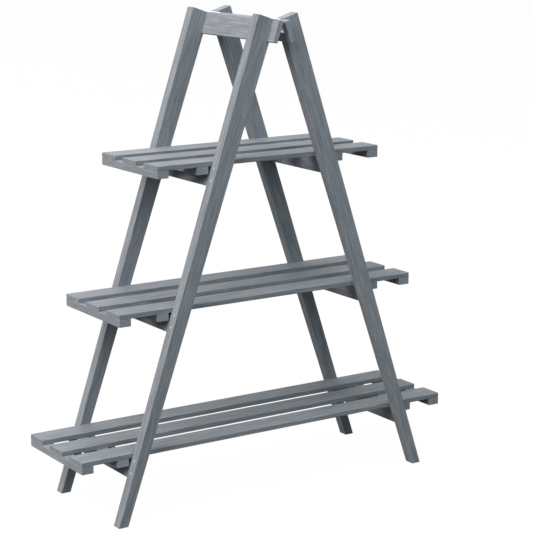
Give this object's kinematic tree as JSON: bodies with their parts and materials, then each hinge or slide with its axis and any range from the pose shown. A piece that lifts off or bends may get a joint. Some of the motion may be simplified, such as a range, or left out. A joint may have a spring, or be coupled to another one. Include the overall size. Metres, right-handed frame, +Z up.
{
  "type": "folding plant ladder stand",
  "caption": "A-frame plant stand: tapered wooden ladders hinged at the top, with loose slatted shelves that get longer towards the floor and rest on the ladders' rails.",
  "frame": {"origin": "on the floor, under the middle of the stand", "axes": "+Z up, X along the shelves' length, -Y towards the front"},
  "size_m": [1, 0.353, 1.1216],
  "materials": {
    "stained_pine": "grey stained, matt",
    "zinc_steel": "bright zinc plated",
    "yellow_zinc": "yellow zinc plated"
  },
  "bodies": {
    "left_ladder": {"front_hinge_left_leaf": "zinc_steel", "front_hinge_left_screw_a": "zinc_steel", "front_hinge_left_screw_b": "zinc_steel", "front_hinge_pin": "zinc_steel", "left_front_leg": "stained_pine", "left_lower_rail": "stained_pine", "left_lower_rail_lower_screw": "yellow_zinc", "left_lower_rail_upper_screw": "yellow_zinc", "left_middle_rail": "stained_pine", "left_middle_rail_lower_screw": "yellow_zinc", "left_middle_rail_upper_screw": "yellow_zinc", "left_rear_leg": "stained_pine", "left_top_crossbar": "stained_pine", "left_upper_rail": "stained_pine", "left_upper_rail_lower_screw": "yellow_zinc", "left_upper_rail_upper_screw": "yellow_zinc", "rear_hinge_left_leaf": "zinc_steel", "rear_hinge_left_screw_a": "zinc_steel", "rear_hinge_left_screw_b": "zinc_steel", "rear_hinge_pin": "zinc_steel"},
    "right_ladder": {"front_hinge_right_leaf": "zinc_steel", "front_hinge_right_screw_a": "zinc_steel", "front_hinge_right_screw_b": "zinc_steel", "rear_hinge_right_leaf": "zinc_steel", "rear_hinge_right_screw_a": "zinc_steel", "rear_hinge_right_screw_b": "zinc_steel", "right_front_leg": "stained_pine", "right_lower_rail": "stained_pine", "right_lower_rail_lower_screw": "yellow_zinc", "right_lower_rail_upper_screw": "yellow_zinc", "right_middle_rail": "stained_pine", "right_middle_rail_lower_screw": "yellow_zinc", "right_middle_rail_upper_screw": "yellow_zinc", "right_rear_leg": "stained_pine", "right_top_crossbar": "stained_pine", "right_upper_rail": "stained_pine", "right_upper_rail_lower_screw": "yellow_zinc", "right_upper_rail_upper_screw": "yellow_zinc"},
    "upper_shelf": {"upper_shelf_front_slat": "stained_pine", "upper_shelf_left_end_batten": "stained_pine", "upper_shelf_left_lock_batten": "stained_pine", "upper_shelf_middle_slat": "stained_pine", "upper_shelf_rear_slat": "stained_pine", "upper_shelf_right_end_batten": "stained_pine", "upper_shelf_right_lock_batten": "stained_pine"},
    "middle_shelf": {"middle_shelf_front_slat": "stained_pine", "middle_shelf_left_end_batten": "stained_pine", "middle_shelf_left_lock_batten": "stained_pine", "middle_shelf_middle_slat": "stained_pine", "middle_shelf_rear_slat": "stained_pine", "middle_shelf_right_end_batten": "stained_pine", "middle_shelf_right_lock_batten": "stained_pine"},
    "lower_shelf": {"lower_shelf_front_slat": "stained_pine", "lower_shelf_left_end_batten": "stained_pine", "lower_shelf_left_lock_batten": "stained_pine", "lower_shelf_middle_slat": "stained_pine", "lower_shelf_rear_slat": "stained_pine", "lower_shelf_right_end_batten": "stained_pine", "lower_shelf_right_lock_batten": "stained_pine"}
  },
  "joints": [
    {"name": "ladder_fold", "type": "hinge", "parent": "left_ladder", "child": "right_ladder", "pos_m": [0, 0, 1.1069], "axis": [0, 1, 0], "range_deg": [0, 36.8]},
    {"name": "upper_shelf_lift", "type": "slide", "parent": "left_ladder", "child": "upper_shelf", "axis": [0, 0, 1], "range_m": [0, 0.1]},
    {"name": "middle_shelf_lift", "type": "slide", "parent": "left_ladder", "child": "middle_shelf", "axis": [0, 0, 1], "range_m": [0, 0.1]},
    {"name": "lower_shelf_lift", "type": "slide", "parent": "left_ladder", "child": "lower_shelf", "axis": [0, 0, 1], "range_m": [0, 0.1]}
  ]
}
